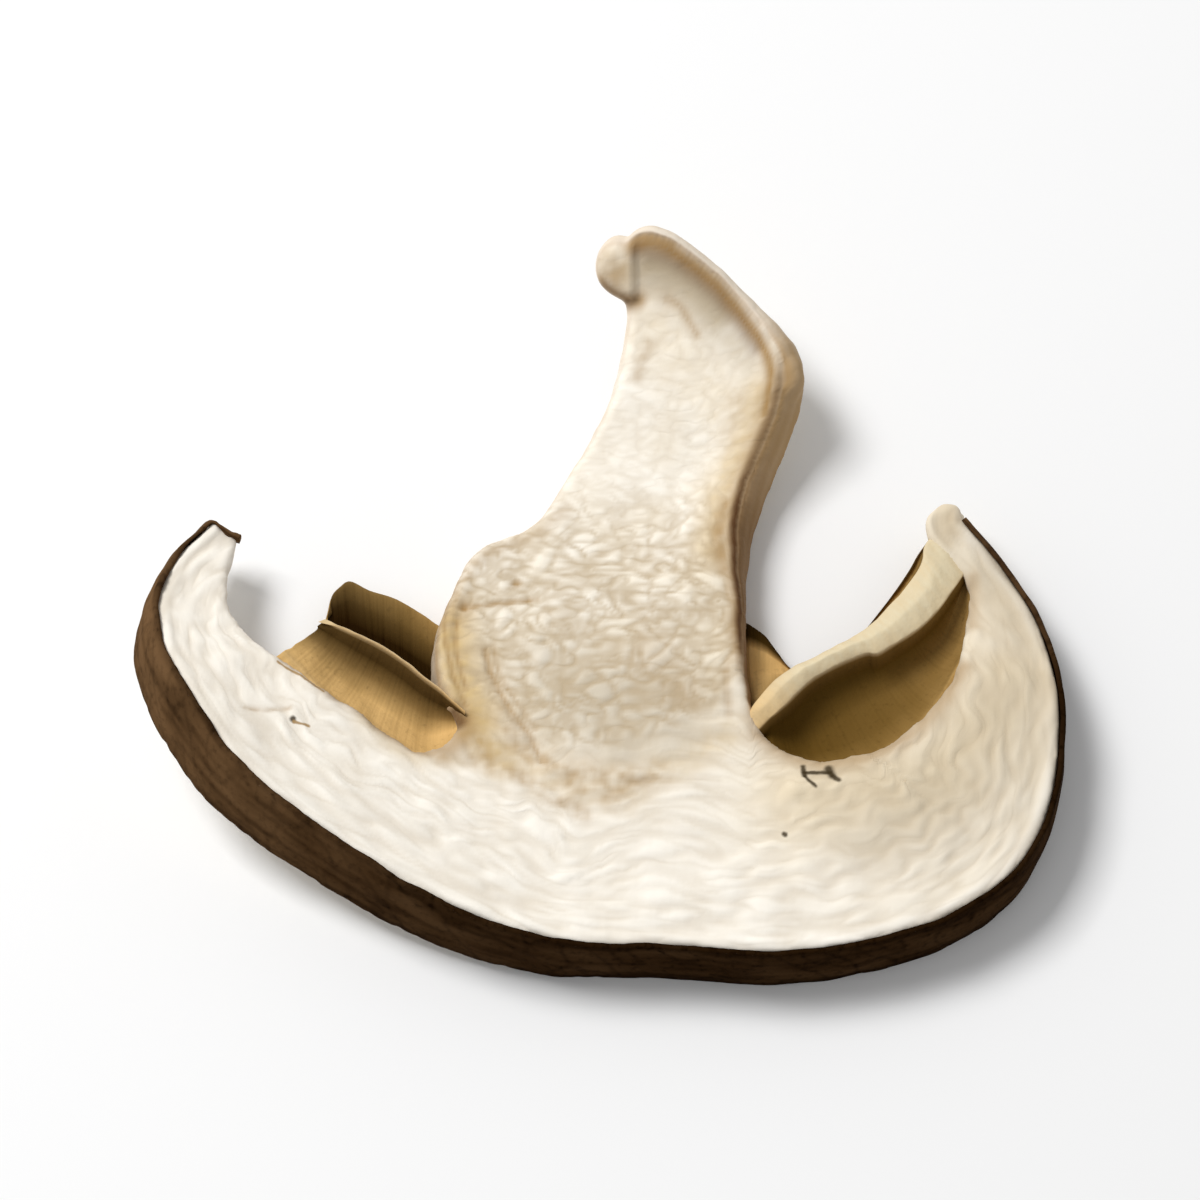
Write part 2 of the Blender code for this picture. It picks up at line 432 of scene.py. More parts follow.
class NodeSheet:
    """The node tree of one material."""

    def __init__(self, name: str) -> None:
        self.material = bpy.data.materials.new(name)
        self.material.use_nodes = True
        self.tree = self.material.node_tree
        self.shader = self.tree.nodes["Principled BSDF"]

    def node(self, kind: str, settings: dict[str, object], inputs: dict) -> bpy.types.Node:
        """Add a node, set it up, then fill or link its inputs.

        Args:
            kind: Blender's name of the node type.
            settings: Properties of the node.
            inputs: Values, signals or sockets by input name or number.

        Returns:
            The new node.
        """
        made = self.tree.nodes.new(kind)
        for name, value in settings.items():
            setattr(made, name, value)
        for key, value in inputs.items():
            self.feed(made.inputs[key], value)
        return made

    def feed(self, socket: bpy.types.NodeSocket, value: object) -> None:
        """Set a socket to a constant, or link a signal or socket to it."""
        if isinstance(value, Signal):
            self.tree.links.new(value.socket, socket)
        elif isinstance(value, bpy.types.NodeSocket):
            self.tree.links.new(value, socket)
        elif isinstance(value, tuple) and len(value) == 3 and socket.type == "RGBA":
            socket.default_value = (*value, 1.0)
        else:
            socket.default_value = value

    def attribute(self, name: str) -> Signal:
        """A number stored on each vertex."""
        node = self.node("ShaderNodeAttribute", {"attribute_name": name}, {})
        return Signal(self, node.outputs["Fac"])

    def object_place(self) -> bpy.types.NodeSocket:
        """The place on the object, in metres."""
        return self.node("ShaderNodeTexCoord", {}, {}).outputs["Object"]

    def drawing_place(self) -> bpy.types.NodeSocket:
        """The place on the flat drawing, in millimetres."""
        return self.node("ShaderNodeAttribute", {"attribute_name": "drawing"}, {}).outputs["Vector"]

    def vector_math(self, operation: str, *operands: object) -> bpy.types.Node:
        """Work with whole vectors."""
        return self.node("ShaderNodeVectorMath", {"operation": operation}, dict(enumerate(operands)))

    def line_distance(self, place: bpy.types.NodeSocket, start: Point, end: Point) -> Signal:
        """Distance from a place on the drawing to a straight line between two points."""
        run = (end[0] - start[0], end[1] - start[1], 0.0)
        offset = self.vector_math("SUBTRACT", place, (start[0], start[1], 0.0)).outputs["Vector"]
        along = Signal(self, self.vector_math("DOT_PRODUCT", offset, run).outputs["Value"])
        share = (along / (run[0] ** 2 + run[1] ** 2)).at_least(0.0).at_most(1.0)
        reached = self.vector_math("SCALE", run)
        self.feed(reached.inputs["Scale"], share)
        gap = self.vector_math("SUBTRACT", offset, reached.outputs["Vector"]).outputs["Vector"]
        return Signal(self, self.vector_math("LENGTH", gap).outputs["Value"])

    def vector(self, x: Operand, y: Operand, z: Operand = 0.0) -> bpy.types.NodeSocket:
        """Three values as one vector."""
        return self.node("ShaderNodeCombineXYZ", {}, {0: x, 1: y, 2: z}).outputs[0]

    def noise(self, place: bpy.types.NodeSocket, scale: float, detail: float = 2.0,
              roughness: float = 0.5) -> Signal:
        """Soft noise from 0 to 1, about 0.5 in the middle."""
        node = self.node("ShaderNodeTexNoise", {"noise_dimensions": "3D"},
                         {"Vector": place, "Scale": scale, "Detail": detail, "Roughness": roughness})
        return Signal(self, node.outputs[0])

    def mix(self, share: Operand, first: object, second: object,
            blend: str = "MIX") -> bpy.types.NodeSocket:
        """Blend two colours."""
        node = self.node("ShaderNodeMix",
                         {"data_type": "RGBA", "blend_type": blend, "clamp_factor": True}, {})
        self.feed(node.inputs[0], share)
        self.feed(node.inputs[6], first)
        self.feed(node.inputs[7], second)
        return node.outputs[2]

    def bump(self, height: Signal, depth: float, strength: float = 1.0) -> None:
        """Roughen the surface by a height in shares of a depth in metres."""
        node = self.node("ShaderNodeBump", {}, {"Strength": strength, "Distance": depth, "Height": height})
        self.feed(self.shader.inputs["Normal"], node.outputs[0])


class Tint(Enum):
    """What a mark does to the colour of the flesh."""

    CREAM = "cream"
    # Paints shade: a greyish darkening where the flesh would lie in shade
    GREY = "grey_shade"
    YELLOW = "yellow"
    TAN = "tan"
    DARK = "dark"


@dataclass(frozen=True)
class Mark:
    """A soft line, spot or band on the front cut face, in millimetres of the flat drawing.

    Its grain is how much of it is broken into grains, from 0 to 1.
    """

    points: tuple[Point, ...]
    half_width: float
    tint: Tint
    strength: float
    dent: float = 0.0
    grain: float = 0.0

    def cover(self, x: np.ndarray, y: np.ndarray) -> np.ndarray:
        """How strongly the mark covers each place, before its strength."""
        if len(self.points) == 1:
            distance = np.hypot(x - self.points[0][0], y - self.points[0][1])
        else:
            distance, _ = Path(self.points).nearest(x, y)
        grains = np.clip(0.45 + 0.7 * Noise(71)(x / 1.1, y / 0.7) + 0.5 * Noise(72)(x / 0.5, y / 0.45), 0.0, 1.0)
        return np.exp(-((distance / self.half_width) ** 2)) * (1.0 - self.grain + self.grain * grains)


# Where cap and stem meet, the pits and lines of the front cut face, and greyish painted shade on the lower bulb, the
# stem end and the right rim
MARKS: list[Mark] = [
    Mark(((-6.9, -4.6), (-6.5, -6.2), (-5.4, -8.4), (-4.2, -10.0), (-3.5, -11.6)), 0.22, Tint.TAN, 0.70, dent=0.2),
    Mark(((-6.4, -4.2), (-6.0, -6.0), (-5.0, -7.9), (-3.8, -9.6)), 0.18, Tint.TAN, 0.45, dent=0.1),
    Mark(((-5.9, -9.0), (-4.4, -10.9), (-2.0, -12.2), (0.9, -12.8), (3.2, -12.5)),
         0.80, Tint.TAN, 0.60, dent=0.03, grain=0.85),
    Mark(((-8.0, -11.9), (-5.4, -12.6), (-3.4, -13.6), (-0.9, -15.0)), 0.50, Tint.TAN, 0.62, dent=0.03, grain=0.8),
    Mark(((-5.6, -11.2), (-1.6, -13.2), (1.6, -13.4)), 1.5, Tint.YELLOW, 0.45, grain=0.4),
    Mark(((-1.6, -13.0), (1.0, -13.6)), 0.9, Tint.TAN, 0.55, dent=0.03, grain=0.9),
    Mark(((3.2, -12.4), (5.3, -11.5), (7.5, -9.7)), 1.1, Tint.YELLOW, 0.40, dent=0.10, grain=0.5),
    Mark(((-9.2, -3.0), (-8.7, -6.4), (-7.6, -9.4)), 2.0, Tint.YELLOW, 1.0, grain=0.15),
    Mark(((-7.4, -10.4), (-6.0, -11.6)), 1.4, Tint.YELLOW, 0.90, grain=0.35),
    # Dark painted shade in the pit where the left recess meets the stem
    Mark(((-8.9, -8.5), (-8.6, -9.2)), 0.50, Tint.DARK, 0.80, dent=0.2),
    Mark(((-8.3, -9.3), (-8.5, -10.4), (-9.8, -11.5)), 0.80, Tint.TAN, 0.80, grain=0.2),
    Mark(((-9.4, -1.6), (-9.5, -3.6), (-9.0, -6.4), (-8.2, -8.3)), 0.16, Tint.TAN, 0.75, dent=0.15),
    Mark(((-8.6, -2.4), (-8.8, -4.6), (-8.2, -7.2)), 0.16, Tint.TAN, 0.75, dent=0.15),
    Mark(((-8.6, -0.6), (-8.9, -2.6)), 0.9, Tint.TAN, 0.40, grain=0.4),
    Mark(((-7.9, -9.2), (-7.9, -10.2)), 0.55, Tint.TAN, 0.65, grain=0.3),
    Mark(((-7.6, -10.4), (-6.9, -11.8)), 0.7, Tint.TAN, 0.50, grain=0.6),
    Mark(((-8.2, -1.7),), 0.42, Tint.TAN, 1.0, dent=0.35),
    Mark(((-8.0, -1.7), (-6.2, -1.35), (-3.8, -1.0)), 0.17, Tint.TAN, 0.75, dent=0.14),
    Mark(((-5.0, 0.1),), 0.25, Tint.TAN, 0.9, dent=0.15),
    # Greyish painted shade in a small pit and over the lower and right part of the bulb
    Mark(((-3.3, -3.9),), 0.28, Tint.GREY, 0.9, dent=0.15),
    Mark(((-1.5, -7.2), (2.5, -8.0)), 4.2, Tint.GREY, 0.66),
    Mark(((1.0, -10.6), (4.5, -9.6)), 1.8, Tint.GREY, 0.60),
    Mark(((4.5, -2.6), (6.8, -2.0)), 1.6, Tint.GREY, 0.28),
    Mark(((3.0, -4.6), (5.2, -7.4)), 1.5, Tint.TAN, 0.22, grain=0.4),
    Mark(((7.9, 1.6), (8.0, 3.4), (8.6, 5.4)), 0.60, Tint.TAN, 0.80, grain=0.3),
    Mark(((7.2, 2.6), (8.4, 6.4), (10.0, 9.8), (11.0, 13.0)), 1.3, Tint.YELLOW, 0.62, grain=0.3),
    Mark(((8.6, 4.2), (9.8, 7.6), (11.1, 10.8), (11.6, 13.4)), 0.60, Tint.TAN, 0.42, grain=0.35),
    Mark(((7.6, -8.6), (7.4, -6.0), (7.9, -4.2), (7.8, 0.0)), 0.30, Tint.TAN, 0.45, dent=0.08, grain=0.3),
    Mark(((2.6, 22.1), (3.6, 22.15), (5.2, 21.35), (7.5, 19.7), (9.6, 17.7), (11.2, 15.8), (11.9, 14.0),
          (11.6, 11.6)), 0.42, Tint.TAN, 1.0, dent=0.14),
    Mark(((2.4, 22.3), (3.3, 22.4), (4.6, 21.9)), 0.60, Tint.TAN, 0.95),
    Mark(((2.6, 21.9), (4.4, 21.4), (6.8, 19.8), (9.0, 17.9), (10.6, 16.0)), 0.45, Tint.DARK, 0.40),
    # Greyish painted shade on the hollow face inside the rolled stem end, and below it
    Mark(((3.4, 21.2), (5.4, 20.3), (7.8, 18.4)), 1.3, Tint.GREY, 0.95),
    Mark(((8.4, 17.4), (10.2, 15.2)), 0.9, Tint.GREY, 0.50),
    Mark(((1.0, 21.3), (1.6, 21.0)), 1.1, Tint.YELLOW, 0.50, grain=0.3),
    Mark(((0.8, 21.2), (1.4, 21.0)), 0.9, Tint.TAN, 0.62, grain=0.5),
    # Tan and dark painted shade under the lower edge of the nub, and greyish painted shade in the groove to its right
    Mark(((0.4, 20.6), (1.0, 20.0), (2.0, 19.5), (2.7, 19.5)), 0.50, Tint.TAN, 0.85, dent=0.15),
    Mark(((0.6, 20.4), (2.2, 19.4)), 0.40, Tint.DARK, 0.45),
    Mark(((2.85, 21.7), (2.9, 20.8), (2.85, 20.1)), 0.35, Tint.GREY, 0.45),
    Mark(((3.4, 18.4), (8.4, 13.0)), 2.6, Tint.CREAM, 0.55, grain=0.3),
    Mark(((4.4, 19.4), (5.3, 18.9), (6.3, 17.5)), 0.26, Tint.TAN, 0.55, dent=0.08),
    Mark(((4.3, 19.4),), 0.8, Tint.TAN, 0.22, grain=0.3),
    Mark(((2.6, 15.2), (3.4, 17.1)), 0.40, Tint.TAN, 0.45, grain=0.6),
    Mark(((9.6, 13.0), (8.9, 10.2)), 0.9, Tint.TAN, 0.22, grain=0.7),
    Mark(((-2.0, 5.4), (-3.9, 3.6), (-7.0, 1.9), (-8.9, -1.2)), 0.50, Tint.TAN, 0.36, grain=0.4),
    Mark(((-22.0, -10.3), (-20.6, -10.2), (-19.3, -9.8)), 0.15, Tint.TAN, 0.50, dent=0.08),
    Mark(((-20.3, -5.0), (-19.7, -5.6)), 0.40, Tint.TAN, 0.65, grain=0.3),
    Mark(((-19.4, -6.1), (-17.0, -8.0), (-15.0, -9.2), (-13.0, -10.6), (-11.2, -11.5), (-9.4, -11.2), (-8.2, -10.0)),
         0.50, Tint.TAN, 0.70),
    Mark(((-14.6, -9.8), (-12.0, -11.8), (-9.0, -11.8)), 0.9, Tint.YELLOW, 0.40, grain=0.3),
    Mark(((9.2, -9.9), (10.8, -11.1), (13.0, -11.7), (15.3, -11.3), (17.9, -10.0), (19.9, -7.9), (21.3, -5.5)),
         0.70, Tint.TAN, 0.62),
    Mark(((22.3, -2.0), (22.5, 1.4)), 0.5, Tint.TAN, 0.45),
    Mark(((9.0, -8.6), (9.2, -9.6), (10.0, -10.8)), 0.8, Tint.TAN, 0.40),
    Mark(((21.2, 5.6), (20.8, 3.6)), 1.6, Tint.CREAM, 0.85),
    Mark(((21.3, 4.8),), 1.1, Tint.TAN, 0.22, grain=0.8),
    # Creamier and darker toward the right rim, partly its own tone and partly painted shade; the two greyish marks
    # after it are painted shade along the right rim
    Mark(((12.0, -13.6), (19.5, -12.4), (24.4, -6.0)), 4.2, Tint.CREAM, 0.95),
    Mark(((17.0, -15.6), (22.0, -13.0), (25.0, -7.0)), 3.6, Tint.GREY, 0.52),
    Mark(((24.6, -9.0), (25.2, -3.0), (23.8, 2.0)), 1.8, Tint.GREY, 0.55),
]


@dataclass(frozen=True)
class Stroke:
    """A fine dark or tan stroke of colour on the front cut face."""

    start: Point
    end: Point
    half_width: float
    dark: bool = True


# Slit, specks and the small dried mark below the right pocket
STROKES: list[Stroke] = [
    Stroke((-20.0, -6.5), (-17.2, -8.2), 0.10, dark=False),
    Stroke((-19.2, -10.6), (-19.15, -10.55), 0.17),
    Stroke((-19.1, -10.75), (-18.2, -10.9), 0.09, dark=False),
    Stroke((11.8, -12.0), (11.85, -12.6), 0.15),
    Stroke((11.9, -12.7), (12.5, -13.3), 0.11),
    Stroke((11.9, -12.42), (13.4, -12.40), 0.11),
    Stroke((13.3, -12.15), (13.45, -12.5), 0.24),
    Stroke((13.5, -12.6), (13.85, -12.85), 0.15),
    Stroke((10.6, -16.25), (10.68, -16.3), 0.13),
]


@dataclass(frozen=True)
class FleshFinish:
    """Colours of the dried flesh, with painted shade: the crease colour darkens the valleys of the folds, and the
    greyish tint darkens shaded parts.
    """

    pale: Colour = (0.95, 0.90, 0.81)
    cream: Colour = (0.80, 0.68, 0.49)
    crease: Colour = (0.48, 0.37, 0.23)
    grey_shade: Colour = (0.50, 0.42, 0.30)
    yellow: Colour = (0.60, 0.42, 0.17)
    tan: Colour = (0.38, 0.235, 0.095)
    dark: Colour = (0.10, 0.040, 0.012)
    side: Colour = (0.56, 0.37, 0.23)
    speck: Colour = (0.045, 0.028, 0.008)
    roughness: float = 0.8
    sheen: float = 0.15

    def material(self) -> bpy.types.Material:
        """Build the material from the attributes that the flesh carries."""
        sheet = NodeSheet("dried_flesh")
        grain = sheet.noise(sheet.object_place(), 2600.0, 3.0)
        mottle = sheet.noise(sheet.object_place(), 520.0, 2.0)
        cap = sheet.attribute("cap")
        drawing = sheet.drawing_place()
        depth = sheet.attribute("depth")
        thread_place = sheet.vector(sheet.attribute("across") * 0.95, sheet.attribute("along") * 0.22, depth * 0.6)
        threads = (sheet.noise(thread_place, 1.0, 1.0) - 0.5).size() * cap
        net_place = sheet.vector_math("MULTIPLY", drawing, (0.55, 0.95, 0.0)).outputs["Vector"]
        net_place = sheet.vector_math("ADD", net_place, sheet.vector(0.0, 0.0, depth * 0.8)).outputs["Vector"]
        net = (sheet.noise(net_place, 1.0, 1.5, 0.5) - 0.5).size() * (1.0 - cap)
        fold = (threads + net).at_most(0.13) / 0.13
        # The fine crease darkens the valleys of the small folds: painted shade.
        fine_crease = fold.fade(1.0, 0.0) * sheet.attribute("fine")
        colour = sheet.mix(sheet.attribute("cream") + mottle * 0.3 - 0.15, self.pale, self.cream)
        # The greyish mix and the crease mix below paint shade into the colour.
        colour = sheet.mix(sheet.attribute("grey_shade"), colour, self.grey_shade)
        colour = sheet.mix(sheet.attribute("yellow"), colour, self.yellow)
        colour = sheet.mix(sheet.attribute("crease") + fine_crease, colour, self.crease)
        colour = sheet.mix(sheet.attribute("side"), colour, self.side)
        colour = sheet.mix(sheet.attribute("tan"), colour, self.tan)
        colour = sheet.mix(sheet.attribute("dark"), colour, self.dark)
        front = sheet.attribute("front")
        for stroke in STROKES:
            distance = sheet.line_distance(drawing, stroke.start, stroke.end) + (grain - 0.5) * 0.16
            cover = distance.fade(stroke.half_width * 1.7, stroke.half_width * 0.3) * front * 0.92
            colour = sheet.mix(cover, colour, self.speck if stroke.dark else self.tan)
        sheet.feed(sheet.shader.inputs["Base Color"], colour)
        sheet.feed(sheet.shader.inputs["Roughness"], self.roughness)
        sheet.feed(sheet.shader.inputs["Specular IOR Level"], self.sheen)
        sheet.bump(grain * 0.35 + fold * (0.25 + 2.0 * sheet.attribute("fine")), 0.00006, 0.7)
        return sheet.material


@dataclass(frozen=True)
class SkinFinish:
    """Colours of the cap skin; the deep colour is partly dark marks of its own and partly painted shade along the
    bottom of the rim.
    """

    light: Colour = (0.150, 0.082, 0.036)
    middle: Colour = (0.055, 0.026, 0.009)
    deep: Colour = (0.010, 0.004, 0.001)
    roughness: float = 0.9
    sheen: float = 0.05
    bend_of_light: float = 1.2

    def material(self) -> bpy.types.Material:
        """Build the material from the attributes that the skin carries."""
        sheet = NodeSheet("cap_skin")
        grain = sheet.noise(sheet.object_place(), 2400.0, 3.0)
        colour = sheet.mix(sheet.attribute("light"), self.middle, self.light)
        colour = sheet.mix(sheet.attribute("deep") + grain.fade(0.45, 0.8) * 0.3, colour, self.deep)
        sheet.feed(sheet.shader.inputs["Base Color"], colour)
        sheet.feed(sheet.shader.inputs["Roughness"], self.roughness)
        sheet.feed(sheet.shader.inputs["Specular IOR Level"], self.sheen)
        sheet.feed(sheet.shader.inputs["IOR"], self.bend_of_light)
        sheet.bump(grain, 0.00005, 0.5)
        return sheet.material


@dataclass(frozen=True)
class PoreFinish:
    """Colours of a pore layer; light tan against olive stands for lit and shaded walls as well as its own tone, and
    the deep colour is mostly painted shade in its hollows, and also its dark specks.
    """

    olive: Colour = (0.165, 0.090, 0.016)
    light: Colour = (0.72, 0.46, 0.18)
    pale: Colour = (0.74, 0.64, 0.44)
    deep: Colour = (0.013, 0.005, 0.001)
    roughness: float = 0.9
    sheen: float = 0.04
    bend_of_light: float = 1.2

    def material(self, name: str) -> bpy.types.Material:
        """Build the material from the attributes that a pore layer carries."""
        sheet = NodeSheet(name)
        grain = sheet.noise(sheet.object_place(), 3000.0, 3.0)
        colour = sheet.mix(sheet.attribute("light"), self.olive, self.light)
        colour = sheet.mix(sheet.attribute("deep"), colour, self.deep)
        colour = sheet.mix(grain.fade(0.55, 0.8) * 0.22, colour, self.deep)
        colour = sheet.mix(sheet.attribute("pale") * (0.9 + grain * 0.2), colour, self.pale)
        sheet.feed(sheet.shader.inputs["Base Color"], colour)
        sheet.feed(sheet.shader.inputs["Roughness"], self.roughness)
        sheet.feed(sheet.shader.inputs["Specular IOR Level"], self.sheen)
        sheet.feed(sheet.shader.inputs["IOR"], self.bend_of_light)
        sheet.bump(grain, 0.00006, 0.6)
        return sheet.material


@dataclass
class FleshBody:
    """The flesh of cap and stem, wrinkled by drying."""

    sheet: CurledSheet
    rim: Path
    finish: FleshFinish = field(default_factory=FleshFinish)

    def outline(self) -> np.ndarray:
        """The closed outline of the flesh, a little inside the skin along the cap's rim."""
        runs = [self.rim.shifted(SKIN_OVERLAP)]
        for points in (RIGHT_TIP, RIGHT_POCKET_EDGE, STEM_EDGE, LEFT_RECESS_EDGE, LEFT_ARM_EDGE):
            runs.append(Path(points).places)
        return np.vstack(runs)

    def plate(self) -> bpy.types.Object:
        """The flat flesh with straight sides and even facets, in millimetres."""
        shape = bmesh.new()
        corners = [shape.verts.new((x, y, 0.0)) for x, y in self.outline()]
        floor = shape.faces.new(corners)
        grown = bmesh.ops.extrude_face_region(shape, geom=[floor])
        raised = [item for item in grown["geom"] if isinstance(item, bmesh.types.BMVert)]
        bmesh.ops.translate(shape, verts=raised, vec=(0.0, 0.0, CAP_THICKNESS))
        bmesh.ops.triangulate(shape, faces=shape.faces)
        bmesh.ops.recalc_face_normals(shape, faces=shape.faces)
        obj = new_object("flesh", shape)
        facets = obj.modifiers.new("facets", "REMESH")
        facets.mode = "VOXEL"
        facets.voxel_size = FLESH_FACET
        apply_modifiers(obj)
        return obj

    def smooth_sides(self, obj: bpy.types.Object) -> None:
        """Even out the small steps that the facets leave along the sides."""
        shape = bmesh.new()
        shape.from_mesh(obj.data)
        for _ in range(3):
            bmesh.ops.smooth_vert(shape, verts=shape.verts, factor=0.5, use_axis_x=True, use_axis_y=True)
        shape.to_mesh(obj.data)
        shape.free()

    def cap_folds(self, across: np.ndarray, along: np.ndarray) -> np.ndarray:
        """Wavy folds that follow the rim of the cap, 0 in a crease to about 1."""
        broad = creased(Noise(13)(across / 1.45, along / 5.0), 0.22)
        fine = creased(Noise(14)(across / 0.8 + 7.0, along / 2.9), 0.14)
        return 0.6 * broad + 0.5 * fine

    def stem_net(self, x: np.ndarray, y: np.ndarray) -> np.ndarray:
        """A net of small round wrinkles, a little wider than tall, 0 in a crease to about 1."""
        sway_x = x + 0.6 * Noise(21)(x / 2.1, y / 2.1)
        sway_y = y + 0.45 * Noise(22)(x / 2.3, y / 1.9)
        first = creased(Noise(23)(sway_x / 2.2, sway_y / 1.15), 0.10)
        second = creased(Noise(24)(sway_x / 1.5 + 9.0, sway_y / 1.6), 0.10)
        return np.minimum(first * 1.2, second * 1.5)

    def build(self) -> bpy.types.Object:
        """Make the flesh and give it its finish."""
        obj = self.plate()
        self.smooth_sides(obj)
        flat = mesh_places(obj.data)
        x, y = flat[:, 0].copy(), flat[:, 1].copy()
        level = np.clip((flat[:, 2] - flat[:, 2].min()) / (np.ptp(flat[:, 2])), 0.0, 1.0)
        rim, along = self.rim.nearest(x, y)
        outline = np.vstack([self.outline(), self.outline()[:1]])
        edge, _ = Path([tuple(place) for place in outline]).nearest(x, y)
        beside_stem = Path(STEM_EDGE)
        from_stem, up_stem = beside_stem.nearest(x, y)
        front = fade(level, 0.7, 1.0)
        back = fade(level, 0.3, 0.0)

        bulb = np.hypot((x + 0.2) / 9.6, (y + 0.8) / 9.6) + 0.05 * Noise(40)(x / 3.0, y / 3.0)
        above = fade(y, 1.0, 5.0) * fade(np.abs(x - 5.0), 9.5, 7.5)
        stem = np.maximum(fade(bulb, 1.12, 0.95), above)

        calm = fade(rim, 0.6, 5.5)
        sway = calm * (1.1 * Noise(11)(along / 5.0, rim / 6.0) + 0.35 * Noise(12)(along / 1.9, rim / 2.4))
        across = rim + sway
        folds = self.cap_folds(across, along)
        net = self.stem_net(x, y)
        relief = folds * (1.0 - stem) + net * stem
        bulbous = fade(y, 9.0, 1.0)
        depth = 0.40 * (1.0 - stem) + stem * (0.07 + 0.16 * bulbous)
        waves = 0.16 * Noise(31)(x / 4.5, y / 4.5)

        paint = {tint: np.zeros_like(x) for tint in Tint}
        dents = np.zeros_like(x)
        for mark in MARKS:
            cover = mark.cover(x, y)
            paint[mark.tint] = np.maximum(paint[mark.tint], mark.strength * cover)
            dents += mark.dent * cover

        height = level * self.sheet.thickness(x, y)
        height += front * ((relief - 0.5) * depth + waves * fade(edge, 0.0, 2.0) - dents)
        height -= front * 0.30 * np.clip(1.0 - edge / 0.55, 0.0, 1.0) ** 2 * fade(rim, 0.2, 0.6)
        beside_pores = np.minimum(Path(RIGHT_POCKET_EDGE).nearest(x, y)[0], Path(LEFT_RECESS_EDGE).nearest(x, y)[0])
        height -= front * 0.30 * np.clip(1.0 - beside_pores / 1.1, 0.0, 1.0) ** 2
        height += front * 0.12 * bump_at(rim, 0.55, 0.3)
        height += back * 0.22 * np.clip(0.45 - relief, 0.0, 1.0)
        nub = fade(np.abs(x - 1.35), 1.35, 0.95) * fade(np.abs(y - 21.0), 1.55, 1.1)
        height += front * 0.50 * nub

        on_stem_side = fade(from_stem, 0.6, 0.2) * fade(level, 1.0, 0.88)
        share = np.clip(up_stem / beside_stem.length, 0.0, 1.0)
        inside = beside_stem.left_side(share)
        swell = 1.0 - (2.0 * level - 1.0) ** 2
        ripple = 0.035 * Noise(33)(up_stem / 2.2, level * 2.0) * fade(from_stem, 0.6, 0.0)
        push = ripple - 0.32 * on_stem_side * swell
        x += inside[:, 0] * push
        y += inside[:, 1] * push
        rim_share = np.clip(along / self.rim.length, 0.0, 1.0)
        outward = self.rim.left_side(rim_share) * (-SIDE_BULGE * swell * fade(rim, 0.6, 0.2))[:, None]
        x += outward[:, 0]
        y += outward[:, 1]
        uneven = fade(rim, 0.5, 1.5) * fade(edge, 1.5, 0.0) * (1.0 - 0.6 * stem)
        x += 0.12 * uneven * Noise(34)(flat[:, 0] / 1.1, flat[:, 1] / 1.1)
        y += 0.12 * uneven * Noise(35)(flat[:, 0] / 1.1, flat[:, 1] / 1.1)

        streaks = np.clip(0.5 + 0.5 * Noise(36)(up_stem / 4.5, level * 4.0), 0.0, 1.0)
        side = on_stem_side * (0.95 - 0.65 * fade(up_stem, 15.0, 25.0)) * (0.6 + 0.4 * streaks)
        from_corner = np.hypot(from_stem - 0.1, (1.0 - level) * STEM_THICKNESS)
        line_width = 1.0 + 0.3 * Noise(37)(up_stem / 2.3, 0.0 * x)
        corner_line = np.exp(-((from_corner / (0.26 * line_width)) ** 2))
        corner_line *= fade(up_stem, 2.0, 5.0) * (0.45 + 0.55 * fade(up_stem, 18.0, 13.0)) * fade(up_stem, 25.0, 21.0)
        corner_halo = np.exp(-((from_corner / (0.62 * line_width)) ** 2)) * fade(up_stem, 1.0, 4.0)
        corner_halo *= 0.85 * fade(up_stem, 27.0, 21.0)
        low_side = 0.70 * on_stem_side * fade(up_stem, 19.0, 11.0) * (0.6 + 0.4 * streaks)
        cream = stem * (0.16 + 0.16 * bulbous + 0.22 * Noise(41)(x / 3.0, y / 3.0))
        # The stem turns yellower toward its right side and the cap creamier toward the right: partly their own tone,
        # partly painted shade
        cream += stem * 0.30 * fade(flat[:, 0] - 0.33 * np.maximum(y, 0.0), 3.0, 7.5)
        cream += (1.0 - stem) * 0.42 * fade(flat[:, 0], 6.0, 24.0)
        cream += 0.30 * fade(level, 0.9, 0.5) + 0.25 * fade(y, -15.0, -11.0) * (1.0 - stem) * fade(x, -12.0, -4.0)
        cream = np.maximum(cream - 0.35 * bump_at(rim, 0.5, 0.35) * front, paint[Tint.CREAM])
        # Painted shade in the valleys of the folds, strongest on the bulb.
        crease = np.clip((0.30 - relief) / 0.30, 0.0, 1.0) * front
        crease *= 0.22 * (1.0 - stem) + stem * (0.16 + 0.40 * bulbous)
        add_attribute(obj.data, "cream", np.clip(cream, 0.0, 1.0))
        add_attribute(obj.data, "crease", crease)
        add_attribute(obj.data, "fine", 0.12 * (1.0 - stem) + stem * (0.10 + 0.14 * bulbous))
